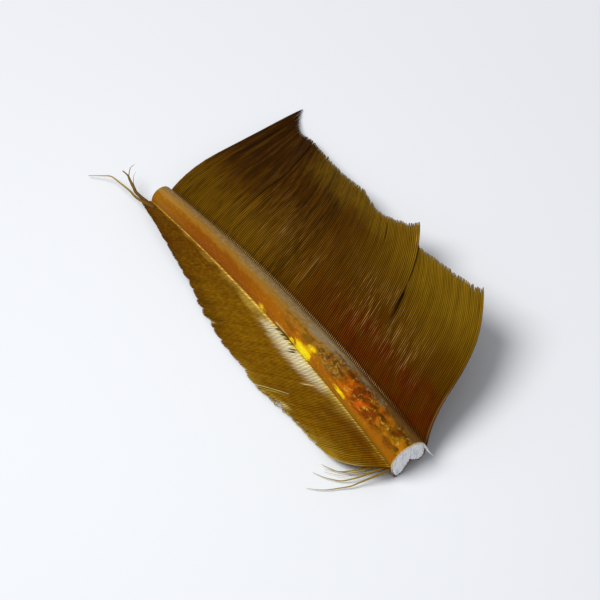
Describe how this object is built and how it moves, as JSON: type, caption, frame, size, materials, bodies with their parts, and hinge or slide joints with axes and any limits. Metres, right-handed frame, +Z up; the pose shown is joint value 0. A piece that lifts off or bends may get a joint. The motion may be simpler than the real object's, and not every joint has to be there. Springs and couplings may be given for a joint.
{
  "type": "turkey wing feather",
  "caption": "Cut length of a dyed turkey wing feather lying face up: thick arched shaft with a white foam core, a broad curled vane on one side and a narrow drooping vane on the other.",
  "frame": {"origin": "centre of the outline on the surface that the feather lies on", "axes": "+Y along the shaft toward the feather's tip, +X toward the wide vane, +Z up"},
  "size_m": [0.045, 0.078, 0.011],
  "materials": {
    "vane": "dyed olive-brown barbs, finely ribbed, with a soft satin sheen",
    "shaft": "amber-stained horn, semi-gloss, mottled",
    "pith": "white foam pith, matte"
  },
  "bodies": {
    "root": {"feather": "vane"}
  },
  "joints": []
}
